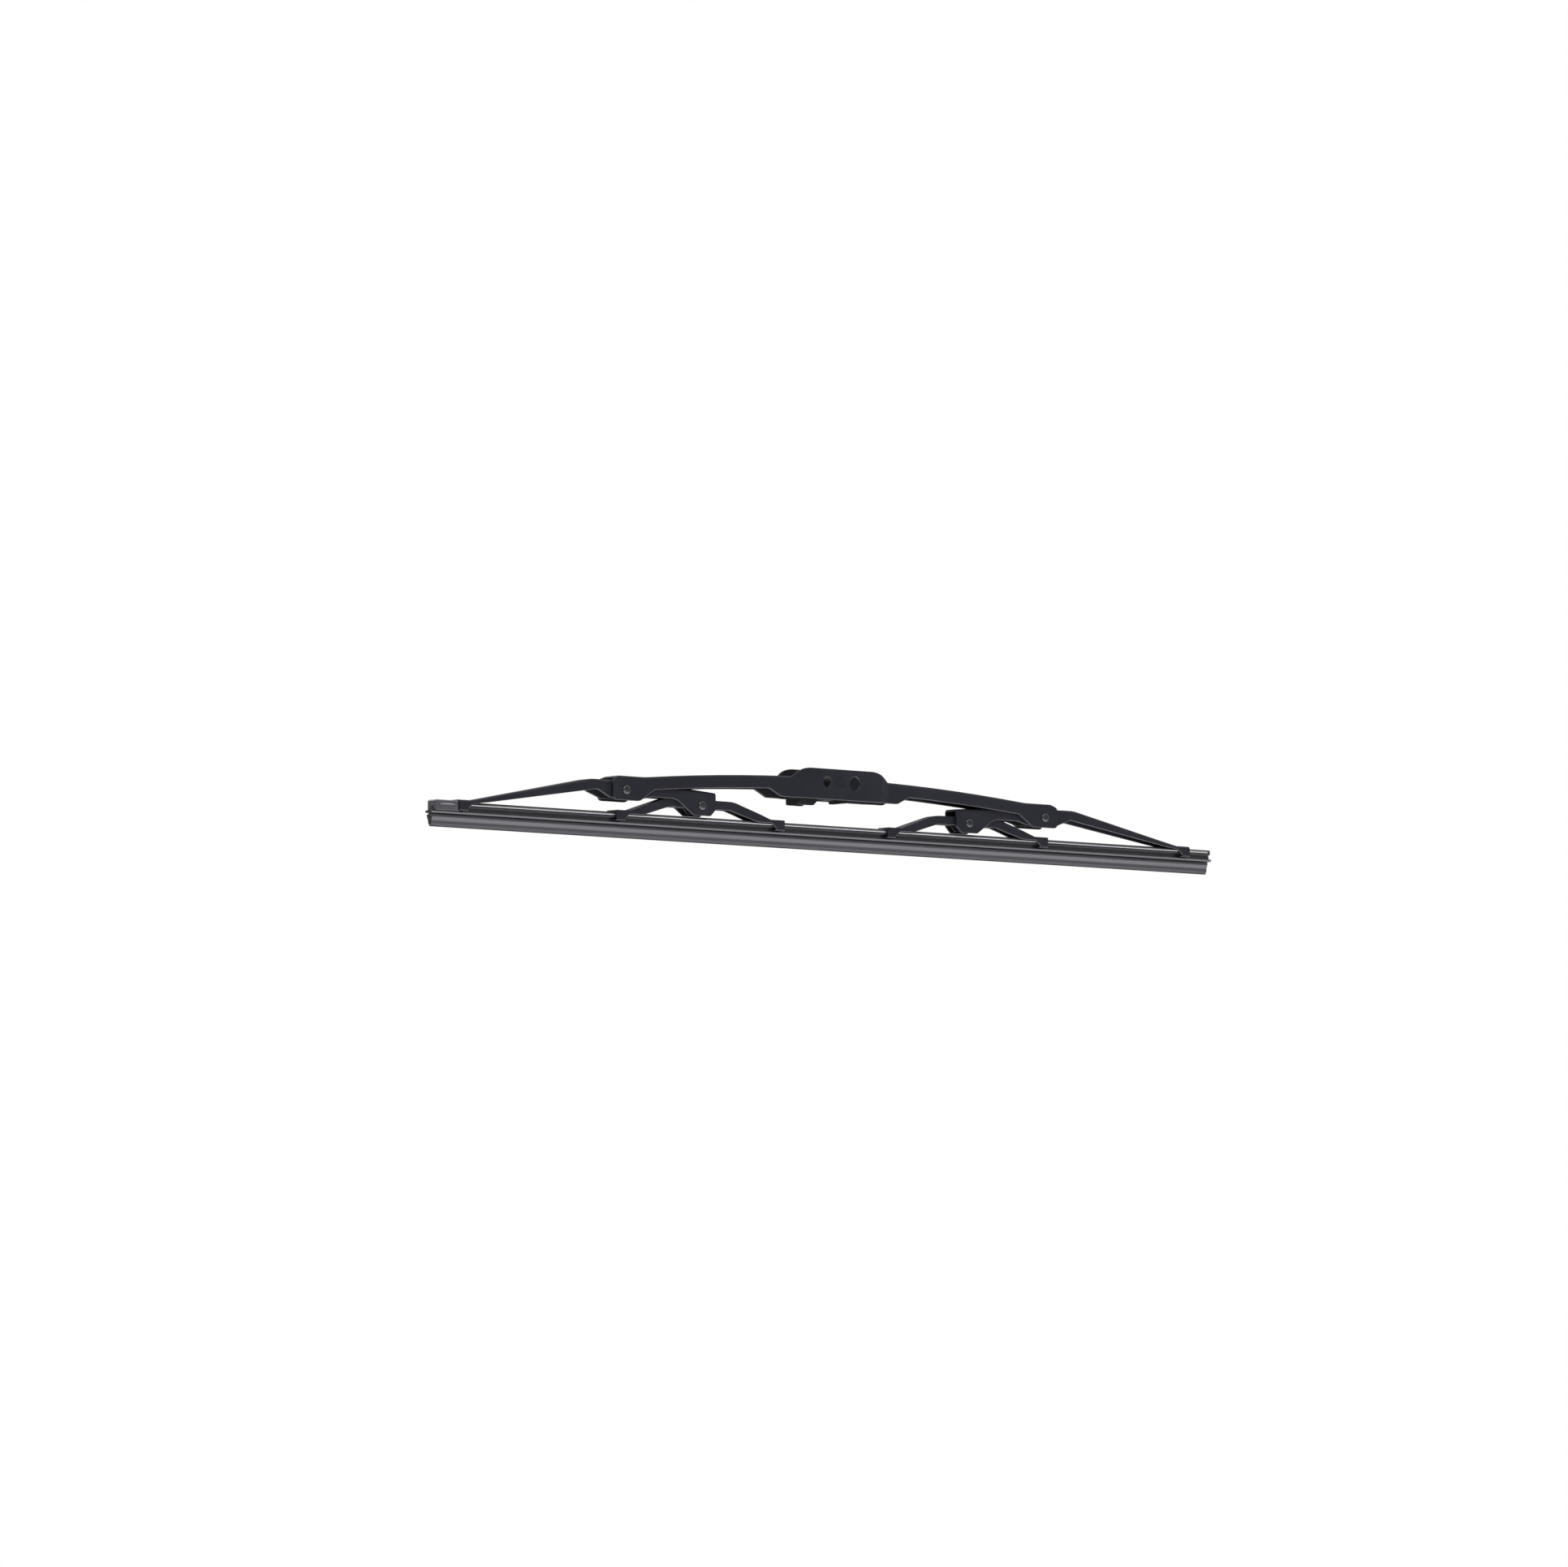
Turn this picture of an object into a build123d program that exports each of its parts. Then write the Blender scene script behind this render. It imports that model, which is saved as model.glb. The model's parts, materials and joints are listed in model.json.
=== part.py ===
from build123d import *
import os
from math import sqrt

# Wiper blade of nested pressed-steel levers, in millimetres. The origin is on the hook pin's axis,
# +X runs along the blade, +Y across it and +Z away from the glass.

# Layout: claw places along X, pivot heights, and the top of the rubber
squeegee_length = 475.0
inner_claw_x = 34.0
middle_claw_x = 129.0
end_overhang = 17.5
lever_pivot_z = -9.7
yoke_pivot_z = -14.5
squeegee_top_z = -19.8

# Rubber section, from the head down to the lip
head_width = 4.8
head_height = 3.0
head_bevel = 0.5
groove_height = 1.5
neck_width = 2.4
flange_width = 5.0
flange_height = 0.9
hinge_width = 0.9
hinge_height = 0.7
wedge_width = 4.2
shoulder_height = 1.0
bulge_width = 3.0
bulge_height = 1.1
taper_width = 1.9
taper_height = 2.3
lip_width = 0.8
lip_ease = 0.5
lip_height = 0.7

# Spring steel flexors in the head's side slots
flexor_inset = 2.5
flexor_thickness = 0.9
flexor_width = 1.75
flexor_proud = 0.3
flexor_depth = 1.0
flexor_corner = 0.7
slot_clearance = 0.05

# Sheet thicknesses, fits and rivets
primary_sheet = 1.1
secondary_sheet = 0.9
yoke_sheet = 0.8
bend_radius = 1.5
liner_wall = 0.45
liner_headroom = 0.6
running_gap = 0.1
seat_gap = 0.05
pivot_fit = 0.05
rivet_shank = 3.2
rivet_head = 4.3
rivet_head_height = 0.8

# Claws: a slanted shoulder of wall whose foot turns in under the flexors
claw_foot = 4.8
claw_slant = 2.8
claw_shoulder = 0.6
claw_clearance = 0.2
claw_gap = 0.1
tip_gap = 0.15
tip_reach = 0.9
claw_bevel = 0.4

# Primary lever: an arched channel with an open hump at the middle
crown_z = 2.2
arch_radius = 1225.0
arch_ease = 40.0
arm_depth = 6.0
hump_width = 14.2
hump_joggle = 5.0
hump_top_z = 6.2
hump_foot_x = 29.5
hump_foot_z = 1.4
cheek_inset = 0.04
hump_shoulder_x = 23.3
hump_round = 14.0
skirt_z = -8.0
skirt_x = 35.5
skirt_ramp = 7.0
primary_end_width = 11.8
end_flat = 12.0
end_reach = 7.7
end_drop = 4.8
end_toe = 8.0
end_slope = 8.5
end_round = 2.0
nose_run = 4.0
nose_drop = 1.8

# Secondary lever: from the yoke pivot, through the primary's end, out to its own claw
block_reach = 8.0
block_rise = 6.2
block_gap = 0.6
block_toe = 5.0
block_chamfer = 3.0
throat_start = 15.5
throat_depth = 6.6
throat_round = 10.0
waist_start = 16.0
waist_run = 6.0
waist_depth = 8.1
waist_end = 8.0
arm_width = 10.4
joggle_start = 9.5
joggle_run = 5.0
arm_start = 19.5
arm_notch = 16.5
arm_wall = 4.6
arm_tail = 14.0
arm_tail_gap = 0.4

# Yoke: a symmetric channel with a claw at each end
yoke_rise = 2.7
yoke_wall = 4.0
yoke_lug_drop = 3.7
yoke_lug_half = 4.0
yoke_lug_ease = 2.5
yoke_flat = 20.0
yoke_under = 18.0
yoke_narrow = 24.0
yoke_wide = 34.0
yoke_shoulder = 6.0

# Plastic saddles between the levers
lever_liner_length = 13.0
yoke_liner_length = 11.0
liner_skirt = 3.0

# Hook pin, and the bores that take side pins
hook_pin_shank = 5.0
hook_pin_head = 6.6
hook_pin_head_height = 0.6
small_bore = 4.9
small_bore_x = -8.6
large_bore = 6.5
large_bore_x = 8.3

# Hook adapter: a plastic clip that snaps onto the pin from above
adapter_width = 9.4
adapter_ring = 9.4
adapter_mouth = 4.2
adapter_leg_drop = 9.2
adapter_tail = 26.0
keel_top_drop = 4.9
keel_drop = 8.2
tongue_start = 24.0
tongue_end = 12.0
tongue_slope = 3.0
tongue_drop = 11.0
adapter_wall = 1.6

# End clip on the left end of the rubber
clip_sheet = 0.5
clip_length = 13.5
clip_clearance = 0.06
clip_lip = 0.7
ridge_length = 9.0
ridge_height = 1.1
ridge_proud = 0.3

# Small roundings of trimmed sheet and moulded corners
trim_round = 1.0
ease_round = 3.0
sweep_round = 20.0
taper_round = 100.0

# The outer claws and the flexors follow the rubber's length
outer_claw_x = squeegee_length / 2 - end_overhang
flexor_length = squeegee_length - 2 * flexor_inset

# Each pivot stands at the mean of the claws that it loads, so that every claw presses alike
yoke_pivot_x = (inner_claw_x + middle_claw_x) / 2
lever_pivot_x = (inner_claw_x + middle_claw_x + outer_claw_x) / 3

# Heights and half widths that follow from the rubber's section
head_bottom_z = squeegee_top_z - head_height
flange_top_z = head_bottom_z - groove_height
flange_bottom_z = flange_top_z - flange_height
wedge_top_z = flange_bottom_z - hinge_height
bulge_top_z = wedge_top_z - shoulder_height
taper_top_z = bulge_top_z - bulge_height
taper_bottom_z = taper_top_z - taper_height
lip_top_z = taper_bottom_z - lip_ease
lip_z = lip_top_z - lip_height
slot_top_z = squeegee_top_z - flexor_depth
slot_bottom_z = slot_top_z - flexor_thickness - 2 * slot_clearance
flexor_span = head_width / 2 + flexor_proud
slot_floor_y = flexor_span - flexor_width - slot_clearance
claw_inner_y = flexor_span + claw_clearance

# Half widths of the nested levers, from the outside in
hump_y = hump_width / 2
primary_end_y = primary_end_width / 2
lever_liner_y = primary_end_y - primary_sheet - running_gap
waist_y = lever_liner_y - liner_wall - seat_gap
arm_y = arm_width / 2
yoke_liner_y = waist_y - secondary_sheet - running_gap
yoke_y = yoke_liner_y - liner_wall - seat_gap


# Height of the primary lever's arched top
def arch_z(x):
    return crown_z - arch_radius + sqrt(arch_radius**2 - x**2)


flat_x = lever_pivot_x - end_flat
end_x = lever_pivot_x + end_reach
end_top_z = arch_z(flat_x)
end_bottom_z = lever_pivot_z - end_drop
waist_top_z = end_top_z - primary_sheet - liner_headroom - liner_wall - seat_gap
block_top_z = yoke_pivot_z + block_rise
yoke_top_z = yoke_pivot_z + yoke_rise
shoulder_z = squeegee_top_z - claw_shoulder

# How far blanks and cutters run past the finished shape
beyond = 60.0

os.makedirs("parts", exist_ok=True)


# A closed outline through corners given as (u, v, rounding)
def outline(corners):
    with BuildSketch() as shape:
        with BuildLine():
            FilletPolyline(*[c[:2] for c in corners], radius=[c[2] for c in corners], close=True)
        make_face()
    return shape.sketch


# The outline of all that lies below a line
def below(line):
    (first_x, last_x) = (line[0][0], line[-1][0])
    return outline(line + [(last_x, -beyond, 0), (first_x, -beyond, 0)])


# The outline between a line and its mirror image across X
def both_sides(line):
    return outline(line + [(x, -y, r) for x, y, r in reversed(line)])


# The same line moved in by the sheet
def inset(line, sheet):
    return [(u, v - sheet, r) for u, v, r in line]


# A corner list followed by its mirror image across the line u = middle
def mirrored(corners, middle):
    return corners + [(2 * middle - u, v, r) for u, v, r in reversed(corners)]


def prism(plane, shape):
    with BuildPart() as body:
        with BuildSketch(plane):
            add(shape)
        extrude(amount=beyond, both=True)
    return body.part


# A pressed channel, open below: a bar rounded along its upper edges, hollowed and trimmed
def channel(top, plan, core_top, core_plan, trim, bend):
    with BuildPart() as core:
        add(prism(Plane.XZ, core_top))
        add(prism(Plane.XY, core_plan), mode=Mode.INTERSECT)
    with BuildPart() as body:
        add(prism(Plane.XZ, top))
        add(prism(Plane.XY, plan), mode=Mode.INTERSECT)
        if bend > 0:
            roof = body.faces().filter_by(lambda f: f.normal_at().Z > 0.5)
            walls = body.faces().filter_by(lambda f: abs(f.normal_at().Y) > 0.5)
            fillet(roof.edges() & walls.edges(), bend)
        add(core.part, mode=Mode.SUBTRACT)
        add(prism(Plane.XZ, trim), mode=Mode.INTERSECT)
    return body.part


# Round holes across a lever, given as (x, z, diameter)
def cross_holes(holes):
    with BuildPart() as drill:
        with BuildSketch(Plane.XZ):
            for x, z, diameter in holes:
                with Locations((x, z)):
                    Circle(diameter / 2)
        extrude(amount=beyond, both=True)
    return drill.part


# The feet of one claw, turned in under the flexors on both sides
def claw_hooks(start_x, sheet):
    outer_y = claw_inner_y + sheet
    tip_y = claw_inner_y - tip_reach
    tip_top_z = head_bottom_z - tip_gap
    foot_z = tip_top_z - sheet
    with BuildPart() as hooks:
        with BuildSketch(Plane.YZ.offset(start_x)):
            with BuildLine():
                Polyline(
                    (outer_y, head_bottom_z),
                    (outer_y, foot_z + claw_bevel),
                    (outer_y - claw_bevel, foot_z),
                    (tip_y, foot_z),
                    (tip_y, tip_top_z),
                    (claw_inner_y, tip_top_z),
                    (claw_inner_y, head_bottom_z),
                    close=True,
                )
            make_face()
            mirror(about=Plane.YZ)
        extrude(amount=claw_foot)
    return hooks.part


# A pin along Y with a flat head at both ends
def headed_pin(x, z, span, shank, head, head_height):
    with BuildPart() as pin:
        with BuildSketch(Plane.XZ):
            with Locations((x, z)):
                Circle(shank / 2)
        extrude(amount=span / 2, both=True)
        with BuildSketch(Plane.XZ.offset(span / 2)):
            with Locations((x, z)):
                Circle(head / 2)
        extrude(amount=head_height)
        mirror(about=Plane.XZ)
    return pin.part


# A plastic saddle that drops over a lever's flat top and straddles its rivet
def saddle(x, z, length, top_z, inner_y):
    skirt_height = top_z + liner_wall - z + liner_skirt
    with BuildPart() as liner:
        with BuildSketch(Plane.YZ.offset(x - length / 2)):
            with Locations((0, top_z + liner_wall)):
                Rectangle(2 * (inner_y + liner_wall), skirt_height, align=(Align.CENTER, Align.MAX))
            with Locations((0, top_z)):
                Rectangle(2 * inner_y, skirt_height, align=(Align.CENTER, Align.MAX), mode=Mode.SUBTRACT)
        extrude(amount=length)
        with BuildSketch(Plane.XZ):
            with Locations((x, z + rivet_shank / 2 + pivot_fit)):
                Rectangle(rivet_shank + 2 * pivot_fit, beyond, align=(Align.CENTER, Align.MAX))
        extrude(amount=beyond, both=True, mode=Mode.SUBTRACT)
    return liner.part


# Primary lever: arched blank and hollow, then the side outline, the slot and the raised cheeks
def arch_outline(drop):
    level_z = end_top_z - drop
    tail_x = end_x + beyond
    with BuildSketch() as shape:
        with BuildLine():
            arch = ThreePointArc((-flat_x, level_z), (0, crown_z - drop), (flat_x, level_z))
            Polyline(
                arch @ 1,
                (tail_x, level_z),
                (tail_x, -beyond),
                (-tail_x, -beyond),
                (-tail_x, level_z),
                arch @ 0,
            )
        make_face()
        fillet(shape.vertices().filter_by(lambda v: abs(abs(v.X) - flat_x) < 0.001), arch_ease)
    return shape.sketch


primary_plan = mirrored([(-end_x - beyond, primary_end_y, 0)], 0)
toe_x = lever_pivot_x - end_toe
slope_x = toe_x - end_slope
ramp_x = skirt_x + skirt_ramp
middle_x = (slope_x + ramp_x) / 2
nose_top_x = end_x - nose_run - (beyond - end_top_z) * nose_run / nose_drop

with BuildSketch() as primary_side:
    with BuildLine():
        under = ThreePointArc(
            (slope_x, arch_z(slope_x) - arm_depth),
            (middle_x, arch_z(middle_x) - arm_depth),
            (ramp_x, arch_z(ramp_x) - arm_depth),
        )
        Polyline(
            under @ 1,
            (skirt_x, skirt_z),
            (0, skirt_z),
            (0, beyond),
            (nose_top_x, beyond),
            (end_x, end_top_z - nose_drop),
            (end_x, end_bottom_z),
            (toe_x, end_bottom_z),
            under @ 0,
        )
    make_face()
    fillet(primary_side.vertices().filter_by(lambda v: abs(v.X - end_x) < 0.001), end_round)
    eased = [toe_x, slope_x, ramp_x, skirt_x]
    fillet(primary_side.vertices().filter_by(lambda v: min(abs(v.X - x) for x in eased) < 0.001), ease_round)
    mirror(about=Plane.YZ)

primary_channel = channel(
    arch_outline(0),
    both_sides(primary_plan),
    arch_outline(primary_sheet),
    both_sides(inset(primary_plan, primary_sheet)),
    primary_side.sketch,
    bend_radius,
)
cheek_plan = mirrored(
    [
        (-hump_foot_x, primary_end_y - cheek_inset, 0),
        (-hump_foot_x + hump_joggle, hump_y, 0),
    ],
    0,
)
cheek_core = mirrored(
    [
        (-hump_foot_x, primary_end_y - primary_sheet + cheek_inset, 0),
        (-hump_foot_x + hump_joggle, hump_y - primary_sheet, 0),
    ],
    0,
)
cheek_side = mirrored(
    [
        (-hump_foot_x, skirt_z, 0),
        (-hump_foot_x, hump_foot_z, 0),
        (-hump_shoulder_x, hump_top_z, hump_round),
    ],
    0,
)
with BuildPart() as cheeks:
    add(prism(Plane.XZ, outline(cheek_side)))
    add(prism(Plane.XY, both_sides(cheek_plan)), mode=Mode.INTERSECT)
    add(prism(Plane.XY, both_sides(cheek_core)), mode=Mode.SUBTRACT)

with BuildPart() as primary_lever:
    add(primary_channel)
    with BuildSketch(Plane.XY):
        Rectangle(2 * hump_foot_x, hump_width)
    extrude(amount=beyond, both=True, mode=Mode.SUBTRACT)
    add(cheeks.part)
    add(
        cross_holes(
            [
                (0, 0, hook_pin_shank + 2 * pivot_fit),
                (small_bore_x, 0, small_bore),
                (large_bore_x, 0, large_bore),
                (lever_pivot_x, lever_pivot_z, rivet_shank + 2 * pivot_fit),
                (-lever_pivot_x, lever_pivot_z, rivet_shank + 2 * pivot_fit),
            ]
        ),
        mode=Mode.SUBTRACT,
    )
primary_lever.part.label = "primary_lever"
export_step(primary_lever.part, "parts/primary_lever.step")

# Hook pin through the hump
with BuildPart() as hook_pin:
    add(headed_pin(0, 0, hump_width, hook_pin_shank, hook_pin_head, hook_pin_head_height))
hook_pin.part.label = "hook_pin"
export_step(hook_pin.part, "parts/hook_pin.step")

# Hook adapter: ring with a snap mouth, one leg, and a keel with its release tongue
with BuildPart() as hook_adapter:
    with BuildSketch(Plane.XZ):
        Circle(adapter_ring / 2)
        with BuildLine():
            FilletPolyline(
                (adapter_ring / 2, 0),
                (adapter_ring / 2, -adapter_leg_drop),
                (0, -adapter_leg_drop),
                (0, -keel_drop),
                (-tongue_end, -keel_drop),
                (-tongue_end - tongue_slope, -tongue_drop),
                (-tongue_start, -tongue_drop),
                (-tongue_start, -keel_drop),
                (-adapter_tail, -keel_drop),
                (-adapter_tail, -keel_top_drop),
                (-adapter_ring / 2, -keel_top_drop),
                (-adapter_ring / 2, 0),
                radius=[0, 0, 0, 0, 0, trim_round, trim_round, 0, 0, 0, 0, 0],
                close=True,
            )
        make_face()
        Circle(hook_pin_shank / 2 + pivot_fit, mode=Mode.SUBTRACT)
        with Locations((0, -adapter_leg_drop)):
            Rectangle(adapter_mouth, 2 * adapter_leg_drop, mode=Mode.SUBTRACT)
    extrude(amount=adapter_width / 2, both=True)
    pocket_length = adapter_tail - adapter_ring / 2 - 2 * adapter_wall
    with BuildSketch(Plane.XY.offset(-tongue_drop)):
        with Locations((-adapter_tail + adapter_wall + pocket_length / 2, 0)):
            Rectangle(pocket_length, adapter_width - 2 * adapter_wall)
    extrude(amount=tongue_drop - keel_top_drop - adapter_wall, mode=Mode.SUBTRACT)
hook_adapter.part.label = "hook_adapter"
export_step(hook_adapter.part, "parts/hook_adapter.step")

# Secondary lever, right-hand one: yoke block, waist inside the primary's end, tapering arm and claw
block_x = yoke_pivot_x - block_reach
block_rake = (waist_top_z - block_top_z) / (lever_pivot_x - waist_start - block_x)
block_bottom_z = squeegee_top_z + block_gap
claw_end_x = outer_claw_x + claw_foot / 2
claw_foot_x = claw_end_x - claw_foot
claw_top_z = squeegee_top_z + claw_gap + secondary_sheet
claw_y = claw_inner_y + secondary_sheet
secondary_top = [
    (block_x - beyond, block_top_z - beyond * block_rake, 0),
    (lever_pivot_x - waist_start, waist_top_z, sweep_round),
    (lever_pivot_x + arm_start, waist_top_z, sweep_round),
    (claw_foot_x - claw_slant, claw_top_z, ease_round),
    (claw_end_x + beyond, claw_top_z, 0),
]
secondary_plan = [
    (block_x - beyond, waist_y, 0),
    (lever_pivot_x + joggle_start, waist_y, ease_round),
    (lever_pivot_x + joggle_start + joggle_run, arm_y, ease_round),
    (claw_foot_x - arm_tail, claw_y, taper_round),
    (claw_end_x + beyond, claw_y, 0),
]
secondary_side = [
    (block_x, beyond, 0),
    (claw_end_x, beyond, 0),
    (claw_end_x, head_bottom_z, 0),
    (claw_foot_x, head_bottom_z, 0),
    (claw_foot_x - claw_slant, shoulder_z, trim_round),
    (outer_claw_x - arm_tail, squeegee_top_z + arm_tail_gap, ease_round),
    (lever_pivot_x + arm_notch, waist_top_z - arm_wall, ease_round),
    (lever_pivot_x + waist_end, waist_top_z - waist_depth, 0),
    (lever_pivot_x - waist_start + waist_run, waist_top_z - waist_depth, 0),
    (lever_pivot_x - waist_start, waist_top_z - throat_depth, 0),
    (yoke_pivot_x + throat_start, waist_top_z - throat_depth, throat_round),
    (yoke_pivot_x + block_toe, block_bottom_z, trim_round),
    (block_x + block_chamfer, block_bottom_z, trim_round),
    (block_x, block_bottom_z + block_chamfer, trim_round),
]
with BuildPart() as right_secondary_lever:
    add(
        channel(
            below(secondary_top),
            both_sides(secondary_plan),
            below(inset(secondary_top, secondary_sheet)),
            both_sides(inset(secondary_plan, secondary_sheet)),
            outline(secondary_side),
            bend_radius,
        )
    )
    add(claw_hooks(claw_foot_x, secondary_sheet))
    add(
        cross_holes(
            [
                (lever_pivot_x, lever_pivot_z, rivet_shank + 2 * pivot_fit),
                (yoke_pivot_x, yoke_pivot_z, rivet_shank + 2 * pivot_fit),
            ]
        ),
        mode=Mode.SUBTRACT,
    )

# Yoke, right-hand one, symmetric about its pivot
yoke_half = (middle_claw_x - inner_claw_x) / 2
yoke_end = yoke_half + claw_foot / 2
yoke_foot = yoke_end - claw_foot
yoke_claw_top_z = squeegee_top_z + claw_gap + yoke_sheet
yoke_claw_y = claw_inner_y + yoke_sheet
yoke_top = mirrored(
    [
        (yoke_pivot_x - yoke_half - beyond, yoke_claw_top_z, 0),
        (yoke_pivot_x - yoke_half + yoke_shoulder, yoke_claw_top_z, ease_round),
        (yoke_pivot_x - yoke_flat, yoke_top_z, sweep_round),
    ],
    yoke_pivot_x,
)
yoke_plan = mirrored(
    [
        (yoke_pivot_x - yoke_half - beyond, yoke_claw_y, 0),
        (yoke_pivot_x - yoke_wide, yoke_claw_y, ease_round),
        (yoke_pivot_x - yoke_narrow, yoke_y, ease_round),
    ],
    yoke_pivot_x,
)
yoke_side = mirrored(
    [
        (yoke_pivot_x - yoke_end, beyond, 0),
        (yoke_pivot_x - yoke_end, head_bottom_z, 0),
        (yoke_pivot_x - yoke_foot, head_bottom_z, 0),
        (yoke_pivot_x - yoke_foot + claw_slant, shoulder_z, trim_round),
        (yoke_pivot_x - yoke_wide, shoulder_z, ease_round),
        (yoke_pivot_x - yoke_under, yoke_top_z - yoke_wall, ease_round),
        (yoke_pivot_x - yoke_lug_half - yoke_lug_ease, yoke_top_z - yoke_wall, 0),
        (yoke_pivot_x - yoke_lug_half, yoke_pivot_z - yoke_lug_drop, 0),
    ],
    yoke_pivot_x,
)
with BuildPart() as right_yoke:
    add(
        channel(
            below(yoke_top),
            both_sides(yoke_plan),
            below(inset(yoke_top, yoke_sheet)),
            both_sides(inset(yoke_plan, yoke_sheet)),
            outline(yoke_side),
            0,
        )
    )
    add(claw_hooks(yoke_pivot_x - yoke_end, yoke_sheet))
    add(claw_hooks(yoke_pivot_x + yoke_foot, yoke_sheet))
    add(cross_holes([(yoke_pivot_x, yoke_pivot_z, rivet_shank + 2 * pivot_fit)]), mode=Mode.SUBTRACT)

# Pivot rivets and saddles, right-hand ones
with BuildPart() as right_lever_rivet:
    add(
        headed_pin(
            lever_pivot_x, lever_pivot_z, primary_end_width, rivet_shank, rivet_head, rivet_head_height
        )
    )
with BuildPart() as right_yoke_rivet:
    add(headed_pin(yoke_pivot_x, yoke_pivot_z, 2 * waist_y, rivet_shank, rivet_head, rivet_head_height))
with BuildPart() as right_lever_liner:
    add(
        saddle(
            lever_pivot_x, lever_pivot_z, lever_liner_length, waist_top_z + seat_gap, waist_y + seat_gap
        )
    )
with BuildPart() as right_yoke_liner:
    add(saddle(yoke_pivot_x, yoke_pivot_z, yoke_liner_length, yoke_top_z + seat_gap, yoke_y + seat_gap))

# Both hands of the pieces that come in pairs
right_pieces = {
    "secondary_lever": right_secondary_lever,
    "yoke": right_yoke,
    "lever_rivet": right_lever_rivet,
    "yoke_rivet": right_yoke_rivet,
    "lever_liner": right_lever_liner,
    "yoke_liner": right_yoke_liner,
}
for name, right in right_pieces.items():
    right.part.label = f"right_{name}"
    export_step(right.part, f"parts/right_{name}.step")
    with BuildPart() as left:
        mirror(right.part, about=Plane.YZ)
    left.part.label = f"left_{name}"
    export_step(left.part, f"parts/left_{name}.step")

# Squeegee: one extruded rubber section
with BuildPart() as squeegee:
    with BuildSketch(Plane.YZ):
        with BuildLine():
            Polyline(
                (0, squeegee_top_z),
                (head_width / 2 - head_bevel, squeegee_top_z),
                (head_width / 2, squeegee_top_z - head_bevel),
                (head_width / 2, slot_top_z),
                (slot_floor_y, slot_top_z),
                (slot_floor_y, slot_bottom_z),
                (head_width / 2, slot_bottom_z),
                (head_width / 2, head_bottom_z),
                (neck_width / 2, head_bottom_z),
                (neck_width / 2, flange_top_z),
                (flange_width / 2, flange_top_z),
                (flange_width / 2, flange_bottom_z),
                (hinge_width / 2, flange_bottom_z),
                (hinge_width / 2, wedge_top_z),
                (wedge_width / 2, wedge_top_z),
                (wedge_width / 2, bulge_top_z),
                (bulge_width / 2, taper_top_z),
                (taper_width / 2, taper_bottom_z),
                (lip_width / 2, lip_top_z),
                (lip_width / 2, lip_z),
                (0, lip_z),
                close=True,
            )
        make_face()
        mirror(about=Plane.YZ)
    extrude(amount=squeegee_length / 2, both=True)
squeegee.part.label = "squeegee"
export_step(squeegee.part, "parts/squeegee.step")

# Flexors: one strip in each side slot
flexor_z = slot_top_z - slot_clearance - flexor_thickness
for name, side in (("front", -1), ("rear", 1)):
    with BuildPart() as flexor:
        with BuildSketch(Plane.XY.offset(flexor_z)):
            with Locations((0, side * (flexor_span - flexor_width / 2))):
                strip = Rectangle(flexor_length, flexor_width)
            chamfer(strip.vertices(), flexor_corner)
        extrude(amount=flexor_thickness)
    flexor.part.label = f"{name}_flexor"
    export_step(flexor.part, f"parts/{name}_flexor.step")

# End clip: a sheet saddle over the head, its lips turned into the groove and its end tab folded down
clip_inner_y = flexor_span + clip_clearance
clip_outer_y = clip_inner_y + clip_sheet
clip_inner_z = squeegee_top_z + clip_clearance
clip_lip_top_z = head_bottom_z - tip_gap
clip_lip_z = clip_lip_top_z - clip_sheet
rubber_end_x = -squeegee_length / 2
clip_end_x = rubber_end_x - clip_clearance - clip_sheet
ridge_x = rubber_end_x + clip_length / 2
ridge_z = slot_top_z - flexor_thickness / 2
with BuildPart() as end_clip:
    with BuildSketch(Plane.YZ.offset(clip_end_x)):
        with BuildLine():
            FilletPolyline(
                (0, clip_inner_z + clip_sheet),
                (clip_outer_y, clip_inner_z + clip_sheet),
                (clip_outer_y, clip_lip_z),
                (clip_inner_y - clip_lip, clip_lip_z),
                (clip_inner_y - clip_lip, clip_lip_top_z),
                (clip_inner_y, clip_lip_top_z),
                (clip_inner_y, clip_inner_z),
                (0, clip_inner_z),
                radius=[0, clip_sheet, 0, 0, 0, 0, 0, 0],
                close=True,
            )
        make_face()
        mirror(about=Plane.YZ)
    extrude(amount=clip_sheet + clip_clearance + clip_length)
    with BuildSketch(Plane.YZ.offset(clip_end_x)):
        with BuildLine():
            Polyline(
                (-clip_inner_y, clip_inner_z),
                (clip_inner_y, clip_inner_z),
                (clip_inner_y, clip_lip_z),
                (-clip_inner_y, clip_lip_z),
                close=True,
            )
        make_face()
    extrude(amount=clip_sheet)
    with BuildSketch(Plane.XZ):
        with Locations((ridge_x, ridge_z)):
            ridge = Rectangle(ridge_length, ridge_height)
        chamfer(ridge.vertices(), ridge_height / 2 - clip_clearance)
    extrude(amount=clip_outer_y + ridge_proud, both=True)
    with BuildSketch(Plane.YZ.offset(rubber_end_x - clip_clearance)):
        with BuildLine():
            Polyline(
                (-clip_inner_y, clip_inner_z),
                (clip_inner_y, clip_inner_z),
                (clip_inner_y, clip_lip_top_z),
                (-clip_inner_y, clip_lip_top_z),
                close=True,
            )
        make_face()
    extrude(amount=clip_length + clip_clearance, mode=Mode.SUBTRACT)
end_clip.part.label = "end_clip"
export_step(end_clip.part, "parts/end_clip.step")
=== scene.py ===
import json
import math

import bmesh
import bpy
import numpy as np
from mathutils import Matrix


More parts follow.
